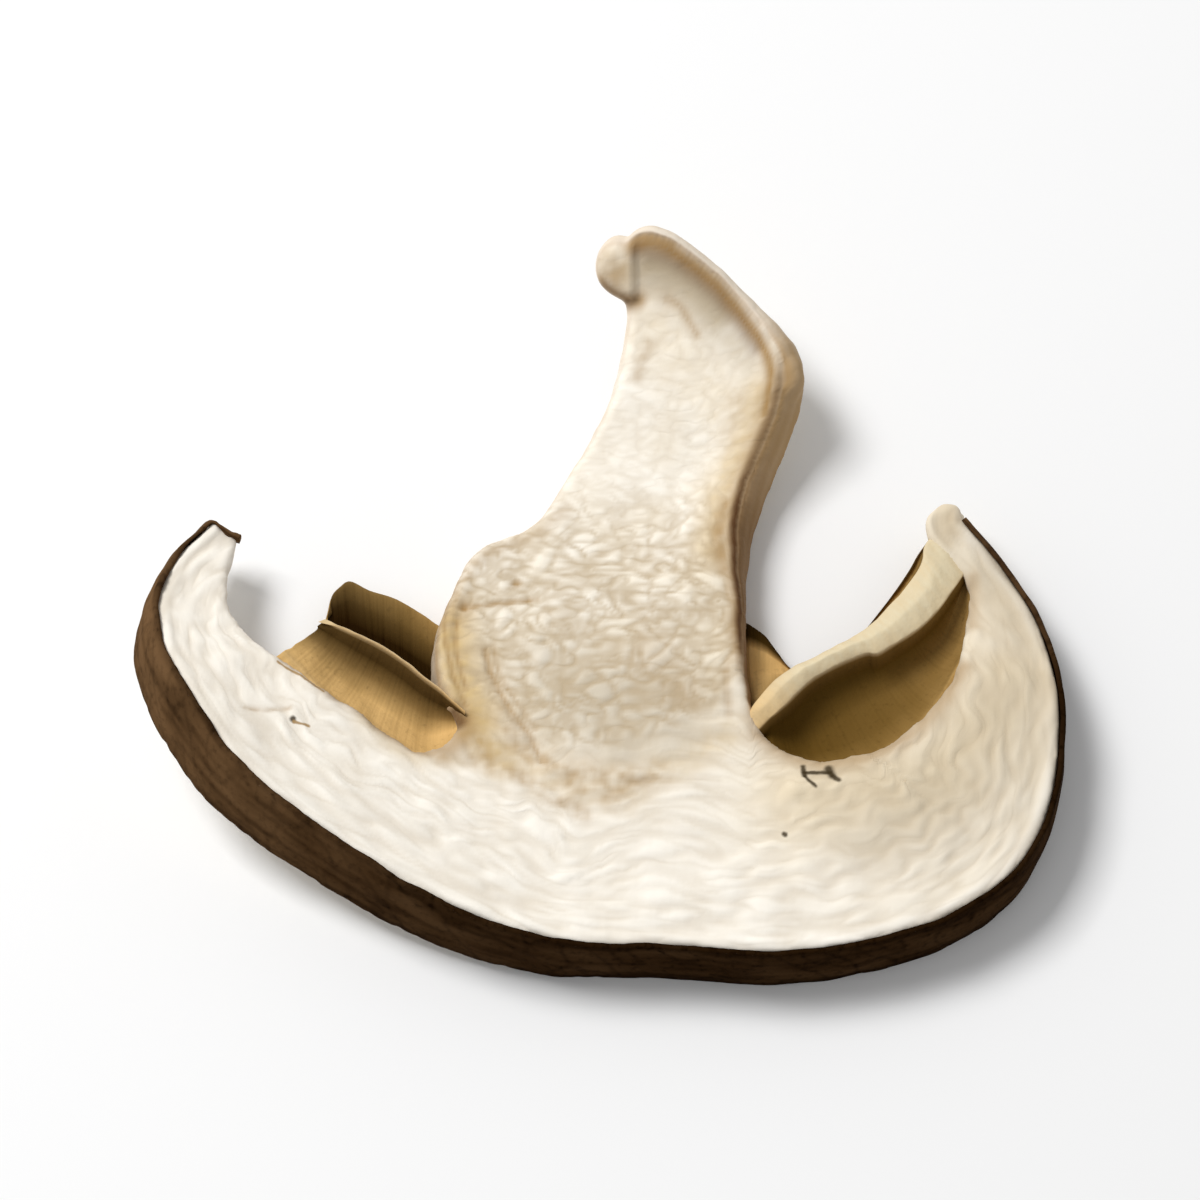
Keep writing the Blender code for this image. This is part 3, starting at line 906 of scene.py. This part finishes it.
        # Painted shade from the greyish marks
        add_attribute(obj.data, "grey_shade", paint[Tint.GREY] * front)
        add_attribute(obj.data, "yellow", paint[Tint.YELLOW] * front)
        brown_side = 0.95 * on_stem_side * (0.7 + 0.3 * streaks)
        brown_side *= fade(up_stem, 29.0, 23.0) + 0.75 * fade(up_stem, 63.0, 67.0)
        tan = np.maximum(paint[Tint.TAN] * front, np.maximum(corner_halo, brown_side))
        add_attribute(obj.data, "tan", np.clip(tan, 0.0, 1.0))
        dark = np.maximum(paint[Tint.DARK] * fade(level, 0.3, 0.9), np.maximum(corner_line, low_side))
        add_attribute(obj.data, "dark", np.clip(dark, 0.0, 0.95))
        add_attribute(obj.data, "cap", 1.0 - stem)
        add_attribute(obj.data, "side", np.clip(side, 0.0, 1.0))
        add_attribute(obj.data, "front", front)
        add_attribute(obj.data, "depth", level * STEM_THICKNESS)
        add_attribute(obj.data, "across", across)
        add_attribute(obj.data, "along", along)
        drawing = obj.data.attributes.new("drawing", "FLOAT_VECTOR", "POINT")
        places = np.column_stack([flat[:, 0], flat[:, 1], np.zeros_like(x)])
        drawing.data.foreach_set("vector", places.astype(np.float32).ravel())
        set_mesh_places(obj.data, self.sheet.place(x, y, np.maximum(height, 0.0)))
        face_outward(obj)
        obj.data.materials.clear()
        obj.data.materials.append(self.finish.material())
        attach(obj, "root")
        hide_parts("porcini_slice")
        log.info("flesh: %d facets", len(obj.data.polygons))
        return obj


# The skin's loose end, which hooks over the left tip of the cap
SKIN_HOOK: list[Point] = [(-22.2, 2.75), (-22.8, 3.0), (-23.5, 3.35)]


@dataclass
class CapSkin:
    """The thin brown skin that covers the rim of the cap from its back edge to its front edge."""

    sheet: CurledSheet
    finish: SkinFinish = field(default_factory=SkinFinish)
    steps_along: int = 1000
    steps_across: int = 28

    def build(self) -> bpy.types.Object:
        """Make the skin and give it its finish."""
        shape = bmesh.new()
        bmesh.ops.create_grid(shape, x_segments=self.steps_along, y_segments=self.steps_across, size=0.5)
        obj = new_object("cap_skin", shape)
        flat = mesh_places(obj.data)
        share = flat[:, 0] + 0.5
        up = flat[:, 1] + 0.5
        line = Path(SKIN_HOOK + CAP_RIM)
        travelled = share * line.length
        hook = Path(SKIN_HOOK + CAP_RIM[:1]).length
        inset = 0.10 + 0.07 * Noise(53)(travelled / 2.5, up * 2.0)
        inset += 0.035 * Noise(54)(travelled / 1.6, up * 6.0)
        inset -= SIDE_BULGE * (1.0 - (2.0 * up - 1.0) ** 2)
        place = line.at(share) + line.left_side(share) * inset[:, None]
        thickness = self.sheet.thickness(place[:, 0], place[:, 1])
        ragged = 0.12 * Noise(55)(travelled / 1.8, 0.0 * up) + 0.05 * Noise(56)(travelled / 0.45, 0.0 * up)
        lowest = 0.91 * fade(travelled, hook + 2.0, hook) + 0.04 * Noise(57)(travelled / 0.9, 0.0 * up)
        lowest -= 0.12 * bump_at(travelled, 0.2, 0.35)
        to_end = line.length - travelled
        lowest = np.clip(np.maximum(lowest, 0.95 * fade(to_end, 3.0, 0.0)), 0.0, 1.0)
        level = lowest + (1.0 - lowest) * up
        height = level * (thickness + ragged * up + 0.05)
        lengthwise = Noise(51)(travelled / 7.0, up * 4.0) + 0.7 * Noise(52)(travelled / 3.0, up * 10.0)
        patches = Noise(58)(travelled / 3.5 + 0.8 * up, up * 1.6)
        nicks = creased(Noise(59)(travelled / 2.2 + 1.2 * up, up * 1.3), 0.05)
        # Lighter at the left tip and toward the right end, near black along the bottom: partly the skin's own tone,
        # partly painted light on the left and painted shade along the bottom
        tone = 0.85 * fade(travelled, 46.0, 4.0) + 0.05 + 0.6 * fade(to_end, 16.0, 2.0)
        add_attribute(obj.data, "light", np.clip(tone + 0.30 * lengthwise + 0.25 * patches, 0.0, 1.0))
        deep = np.clip(0.10 - nicks, 0.0, 1.0) * 2.5 + 0.62 * fade(travelled, 20.0, 48.0) * fade(to_end, 2.0, 16.0)
        deep += np.clip(-lengthwise, 0.0, 1.0) * 0.45 + 0.35 * fade(up, 0.88, 1.0) + 0.3 * fade(up, 0.25, 0.0)
        add_attribute(obj.data, "deep", np.clip(deep, 0.0, 1.0) * 0.85)
        set_mesh_places(obj.data, self.sheet.place(place[:, 0], place[:, 1], height))
        weight = 0.45 + 0.55 * fade(travelled, hook, hook + 4.0) + 0.45 * fade(travelled, 0.7, 0.3)
        weight *= 0.4 + 0.6 * fade(to_end, 0.0, 6.0)
        group = obj.vertex_groups.new(name="thick")
        for index, value in enumerate(weight):
            group.add([index], float(value), "REPLACE")
        solid = obj.modifiers.new("thickness", "SOLIDIFY")
        solid.thickness = SKIN_THICKNESS * MM
        solid.offset = 1.0
        solid.vertex_group = group.name
        apply_modifiers(obj)
        places = mesh_places(obj.data)
        places[:, 2] = np.maximum(places[:, 2], 0.0)
        set_mesh_places(obj.data, places)
        face_outward(obj)
        obj.data.materials.append(self.finish.material())
        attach(obj, "root")
        log.info("cap skin: %d facets", len(obj.data.polygons))
        return obj


class HeightFrom(Enum):
    """Which face a station's height is measured from."""

    FRONT = "front"
    BACK = "back"


@dataclass(frozen=True)
class Station:
    """One line that runs along a pore layer, and where it is on the layer's cross-section.

    It lies a share of the way from one guide line to another, and then some millimetres more.
    Its height is a share of the hollow's depth counted down from the front face, or of the
    thickness up from the back one. Its light and deep tints grow by a slope toward the far end;
    they paint lit and shaded walls and shade deep in the hollows.
    """

    first: str
    second: str
    share: float
    height: float
    measured: HeightFrom = HeightFrom.FRONT
    more: float = 0.0
    light: float = 0.0
    pale: float = 0.0
    deep: float = 0.0
    light_slope: float = 0.0
    deep_slope: float = 0.0


@dataclass
class PoreLayer:
    """A shrunken pore layer, drawn as cross-sections that follow guide lines."""

    name: str
    sheet: CurledSheet
    guides: dict[str, Path]
    stations: Sequence[Station]
    depth_along: Callable[[np.ndarray], np.ndarray]
    finish: PoreFinish = field(default_factory=PoreFinish)
    steps_along: int = 420
    steps_round: int = 180
    ragged_end: float = 0.0
    sunk_ends: float = 0.0

    def station_rows(self, share: np.ndarray) -> np.ndarray:
        """Places of every station at shares of the layer's length: station, share, and x, y, height."""
        rows = []
        depth = self.depth_along(share)
        for station in self.stations:
            first = self.guides[station.first].at(share)
            gap = self.guides[station.second].at(share) - first
            width = np.linalg.norm(gap, axis=1, keepdims=True) + 1e-6
            place = first + gap * station.share + gap / width * station.more
            full = self.sheet.thickness(place[:, 0], place[:, 1])
            if station.measured is HeightFrom.FRONT:
                height = full - station.height * depth
            else:
                height = full * station.height
            sunk = self.sunk_ends * (fade(share, 0.07, 0.01) + 0.3 * fade(share, 0.92, 0.99))
            rows.append(np.column_stack([place, np.maximum(height - sunk, 0.0)]))
        return np.array(rows)

    def tint(self, name: str, around: np.ndarray) -> np.ndarray:
        """One of the stations' tints, blended from each station to the next."""
        values = [getattr(station, name) for station in self.stations]
        return np.interp(around, np.arange(len(values) + 1), [*values, values[0]])

    def build(self) -> bpy.types.Object:
        """Make the pore layer and give it its finish."""
        shape = bmesh.new()
        bmesh.ops.create_grid(shape, x_segments=self.steps_along, y_segments=self.steps_round, size=0.5)
        obj = new_object(self.name, shape)
        flat = mesh_places(obj.data)
        columns = np.unique(np.round(flat[:, 0], 6))
        column = np.searchsorted(columns, np.round(flat[:, 0], 6))
        around = (flat[:, 1] + 0.5) * len(self.stations)
        share = columns[column] + 0.5
        place = closed_curve(self.station_rows(columns + 0.5), around, column)
        length = self.guides["flesh"].length
        travelled = share * length
        turn = np.minimum(around, len(self.stations) - around)
        torn = self.ragged_end * Noise(60)(turn * 0.8, 0.0 * turn) * fade(share, 0.9, 1.0)
        place[:, :2] += torn[:, None] * np.array([1.0, 0.4])
        groove = Noise(61)(travelled / 0.27, around * 0.30) + 0.5 * Noise(62)(travelled / 0.14, around * 0.45)
        pale = self.tint("pale", around)
        open_face = fade(around, 0.8, 1.4) * fade(around, len(self.stations) - 2.5, len(self.stations) - 3.5)
        place[:, 2] += (0.012 * groove * (1.0 - pale) + 0.06 * pale * Noise(63)(travelled / 0.9, around)) * open_face
        place[:, 1] += 0.06 * pale * Noise(64)(travelled / 1.3, 0.0 * around) * open_face
        worn = 0.5 + 0.5 * Noise(65)(travelled / 1.6, around / 1.3)
        beyond_middle = share - 0.5
        # Light and deep tints paint lit and shaded walls; the grooves are darkened as painted shade
        light = self.tint("light", around) + self.tint("light_slope", around) * beyond_middle
        light = light * (0.95 + 0.07 * groove + 0.45 * (worn - 0.4))
        deep = self.tint("deep", around) + self.tint("deep_slope", around) * beyond_middle
        deep = deep + 0.05 * np.clip(-groove, 0.0, 1.0) * (1.0 - pale)
        pale = pale * (0.40 + 0.60 * fade(share, 0.04, 0.28)) * (0.96 + 0.10 * Noise(66)(travelled / 0.4, around))
        add_attribute(obj.data, "light", np.clip(light, 0.0, 1.0))
        add_attribute(obj.data, "pale", np.clip(pale, 0.0, 1.0))
        add_attribute(obj.data, "deep", np.clip(deep, 0.0, 1.0))
        set_mesh_places(obj.data, self.sheet.place(place[:, 0], place[:, 1], np.maximum(place[:, 2], 0.0)))
        self.close(obj)
        face_outward(obj)
        obj.data.materials.append(self.finish.material(self.name))
        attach(obj, "root")
        log.info("%s: %d facets", self.name, len(obj.data.polygons))
        return obj

    def close(self, obj: bpy.types.Object) -> None:
        """Join the two long sides of the sheet, and fill its two ends."""
        shape = bmesh.new()
        shape.from_mesh(obj.data)
        bmesh.ops.remove_doubles(shape, verts=shape.verts, dist=1e-7)
        open_edges = [edge for edge in shape.edges if edge.is_boundary]
        bmesh.ops.holes_fill(shape, edges=open_edges)
        bmesh.ops.triangulate(shape, faces=[face for face in shape.faces if len(face.verts) > 4])
        shape.to_mesh(obj.data)
        shape.free()


def closed_curve(rows: np.ndarray, around: np.ndarray, column: np.ndarray) -> np.ndarray:
    """Places on smooth closed curves through rows of stations.

    Args:
        rows: Station, column and coordinate.
        around: How far round each wanted place is, in stations.
        column: Which column each wanted place is in.

    Returns:
        One row of coordinates for each wanted place.
    """
    count = len(rows)
    index = np.floor(around).astype(int)
    share = (around - index)[:, None]
    a = rows[(index - 1) % count, column]
    b = rows[index % count, column]
    c = rows[(index + 1) % count, column]
    d = rows[(index + 2) % count, column]
    pull = 0.3
    out_b = (c - a) * pull
    in_c = (d - b) * pull
    return (b * (2 * share**3 - 3 * share**2 + 1) + out_b * (share**3 - 2 * share**2 + share)
            + c * (3 * share**2 - 2 * share**3) + in_c * (share**3 - share**2))


def left_pore_layer(sheet: CurledSheet) -> PoreLayer:
    """The pore layer left of the stem: a concave recess, a thin ridge and a face that leans back."""
    guides = {
        "flesh": Path([(-8.3, -9.1), (-8.7, -10.1), (-9.7, -11.0), (-11.2, -11.5), (-13.0, -10.6),
                       (-15.0, -9.3), (-17.0, -8.1), (-19.6, -5.5)]),
        "ridge": Path([(-8.3, -8.8), (-9.0, -8.2), (-9.9, -7.4), (-10.9, -6.7), (-12.2, -5.7),
                       (-13.7, -4.8), (-15.2, -4.1), (-17.2, -3.2)]),
        "edge": Path([(-8.0, -2.2), (-9.7, -1.5), (-10.7, -0.8), (-12.4, 0.2), (-14.0, 0.7),
                      (-15.2, 1.3), (-15.8, 0.9), (-16.3, 0.2), (-16.4, -1.0)]),
    }
    back = HeightFrom.BACK
    # Light tint high on the lit wall by the flesh, low under the ridge; the deep tint behind the ridge is painted
    # shade, and the ridge's pale is partly its own colour, partly painted highlight
    stations = [
        Station("flesh", "ridge", 0.0, 0.75, more=-0.6, light=0.8),
        Station("flesh", "ridge", 0.0, 0.50, light=0.95, pale=0.1),
        Station("flesh", "ridge", 0.15, 0.74, light=0.95),
        Station("flesh", "ridge", 0.42, 1.0, light=0.85, deep=0.0, deep_slope=0.2),
        Station("flesh", "ridge", 0.68, 0.95, light=0.45, deep=0.38, deep_slope=0.3),
        Station("flesh", "ridge", 0.88, 0.60, light=0.15, deep=0.80),
        Station("ridge", "flesh", 0.0, 0.20, more=0.16, light=0.3, deep=0.70),
        Station("ridge", "flesh", 0.0, 0.02, more=0.08, light=0.9, pale=0.45),
        Station("ridge", "edge", 0.0, 0.0, more=0.0, light=0.9, pale=0.55),
        Station("ridge", "edge", 0.0, 0.70, back, more=0.12, deep=0.95),
        Station("ridge", "edge", 0.20, 0.30, back, deep=0.98),
        Station("ridge", "edge", 0.50, 0.20, back, light=0.05, deep=0.96, deep_slope=0.1),
        Station("ridge", "edge", 0.78, 0.24, back, light=0.22, deep=0.62, deep_slope=0.8),
        Station("ridge", "edge", 1.0, 0.28, back, light=0.36, deep=0.30, deep_slope=0.9),
        Station("ridge", "edge", 1.0, 0.14, back, more=0.12, light=0.42, deep=0.2),
        Station("ridge", "edge", 1.0, 0.0, back, light=0.3),
        Station("ridge", "flesh", 0.0, 0.0, back, light=0.3),
        Station("flesh", "ridge", 0.0, 0.0, back, more=-0.6, light=0.3),
    ]
    return PoreLayer("left_pore_layer", sheet, guides, stations,
                     lambda share: 1.9 * (0.6 + 0.4 * fade(share, 0.0, 0.25)) * fade(share, 1.3, 0.6),
                     ragged_end=0.4)


def right_pore_layer(sheet: CurledSheet) -> PoreLayer:
    """The pore layer right of the stem: a deep pocket, a pale lip and a face that leans back."""
    guides = {
        "flesh": Path([(9.2, -9.6), (10.8, -10.9), (12.8, -11.5), (15.4, -11.2), (18.2, -9.5), (20.6, -6.1),
                       (22.1, -2.4), (22.4, 1.7)]),
        "ridge": Path([(9.1, -9.5), (10.6, -8.2), (12.2, -6.5), (13.7, -5.5), (15.6, -4.6), (16.5, -4.5),
                       (18.5, -2.9), (20.0, -1.2), (21.2, 0.6), (22.0, 1.9)]),
        "outer": Path([(8.4, -8.9), (9.5, -7.3), (10.8, -5.9), (13.4, -4.4), (15.7, -2.9), (17.6, -0.6),
                       (19.4, 2.1), (19.7, 3.4), (20.2, 4.2)]),
        "edge": Path([(7.9, -1.0), (8.7, -1.0), (9.8, -1.9), (10.6, -3.1), (11.6, -4.5), (13.2, -3.9),
                      (15.3, -2.3), (17.0, -0.2), (18.7, 2.2), (19.3, 3.2), (19.9, 4.0)]),
    }
    back = HeightFrom.BACK
    # The low light and the deep tint in the pocket are painted shade under the lip, lighter toward the far end; the
    # deep tint by the face's back edge is painted shade
    stations = [
        Station("flesh", "ridge", 0.0, 0.6, more=-0.6, light=0.4),
        Station("flesh", "ridge", 0.0, 0.46, more=0.05, light=0.40),
        Station("flesh", "ridge", 0.10, 0.66, light=0.18, light_slope=0.3),
        Station("flesh", "ridge", 0.32, 0.95, light=0.12, light_slope=0.35, deep=0.16, deep_slope=-0.5),
        Station("flesh", "ridge", 0.65, 1.0, light=0.10, light_slope=0.3, deep=0.20, deep_slope=-0.6),
        Station("ridge", "flesh", 0.0, 0.75, more=0.35, deep=0.25, deep_slope=-0.4),
        Station("ridge", "flesh", 0.0, 0.26, more=0.12, light=0.2, deep=0.20),
        Station("ridge", "flesh", 0.0, 0.08, more=0.04, light=0.8, pale=0.8),
        Station("ridge", "outer", 0.5, -0.06, light=0.9, pale=1.0),
        Station("ridge", "outer", 0.98, 0.12, light=0.9, pale=0.85),
        Station("outer", "edge", 0.10, 0.62, back, light=0.40, deep=0.30, light_slope=-0.6),
        Station("outer", "edge", 0.45, 0.34, back, light=0.58, light_slope=-0.8),
        Station("outer", "edge", 0.74, 0.32, back, light=0.55, light_slope=-0.8),
        Station("outer", "edge", 0.84, 0.37, back, deep=0.75),
        Station("outer", "edge", 1.0, 0.28, back, deep=0.85),
        Station("outer", "edge", 0.98, 0.0, back, light=0.3),
        Station("ridge", "flesh", 0.0, 0.0, back, light=0.3),
        Station("flesh", "ridge", 0.0, 0.0, back, more=-0.6, light=0.3),
    ]
    return PoreLayer("right_pore_layer", sheet, guides, stations,
                     lambda share: 2.7 * (0.4 + 0.6 * fade(share, 0.0, 0.2)) * (0.5 + 0.5 * fade(share, 1.0, 0.75)),
                     steps_along=520, sunk_ends=0.5)


@dataclass
class Studio:
    """A pale floor under soft light from the upper left, seen from above the front."""

    target: tuple[float, float, float] = (-0.161, 0.756, 2.0)
    elevation_deg: float = 64.0
    distance: float = 240.0
    lens: float = 120.0

    def build(self) -> None:
        """Add floor, lights and camera."""
        self.add_floor()
        self.add_world()
        self.add_lamp("key", (-0.24, 0.14, 0.44), 0.20, 2.1)
        self.add_camera()
        scene = bpy.context.scene
        scene.view_settings.view_transform = "Standard"
        scene.view_settings.look = "None"

    def add_floor(self) -> None:
        """A wide pale floor just under the slice."""
        shape = bmesh.new()
        bmesh.ops.create_grid(shape, x_segments=1, y_segments=1, size=2.0)
        floor = new_object("floor", shape)
        sheet = NodeSheet("floor")
        sheet.feed(sheet.shader.inputs["Base Color"], (0.9, 0.9, 0.9))
        sheet.feed(sheet.shader.inputs["Roughness"], 0.9)
        floor.data.materials.append(sheet.material)
        floor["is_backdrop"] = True

    def add_world(self) -> None:
        """Even white light from all sides."""
        world = bpy.data.worlds.new("studio")
        world.use_nodes = True
        bpy.context.scene.world = world
        background = world.node_tree.nodes["Background"]
        background.inputs["Color"].default_value = (1.0, 1.0, 1.0, 1.0)
        background.inputs["Strength"].default_value = 0.45

    def add_lamp(self, name: str, place: tuple[float, float, float], size: float, watts: float) -> None:
        """A square soft lamp that looks at the slice."""
        lamp = bpy.data.lights.new(name, "AREA")
        lamp.size = size
        lamp.energy = watts
        obj = bpy.data.objects.new(name, lamp)
        obj.location = place
        obj.rotation_euler = (-Vector(place)).to_track_quat("-Z", "Y").to_euler()
        bpy.context.scene.collection.objects.link(obj)

    def add_camera(self) -> None:
        """A camera at the photo's angle."""
        camera = bpy.data.cameras.new("camera")
        camera.lens = self.lens
        camera.sensor_width = 36.0
        camera.clip_start = 0.01
        obj = bpy.data.objects.new("camera", camera)
        rise = math.radians(self.elevation_deg)
        away = Vector((0.0, -math.cos(rise), math.sin(rise)))
        obj.location = (Vector(self.target) + away * self.distance) * MM
        obj.rotation_euler = (-away).to_track_quat("-Z", "Y").to_euler()
        bpy.context.scene.collection.objects.link(obj)
        bpy.context.scene.camera = obj


def plain(box: object) -> object:
    """A box as plain lists of numbers."""
    if isinstance(box, (int, float)):
        return float(box)
    return [plain(part) for part in box]


def main() -> None:
    """Build the slice piece by piece, then the studio around it."""
    logging.basicConfig(level=logging.INFO, format="%(name)s: %(message)s")
    for old in list(bpy.data.objects):
        bpy.data.objects.remove(old)
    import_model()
    cad_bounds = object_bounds()
    sheet = CurledSheet()
    rim = Path(CAP_RIM)
    FleshBody(sheet, rim).build()
    CapSkin(sheet).build()
    left_pore_layer(sheet).build()
    right_pore_layer(sheet).build()
    Studio().build()
    {"cad": plain(cad_bounds), "visual": plain(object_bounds())}


if __name__ == "__main__":
    main()
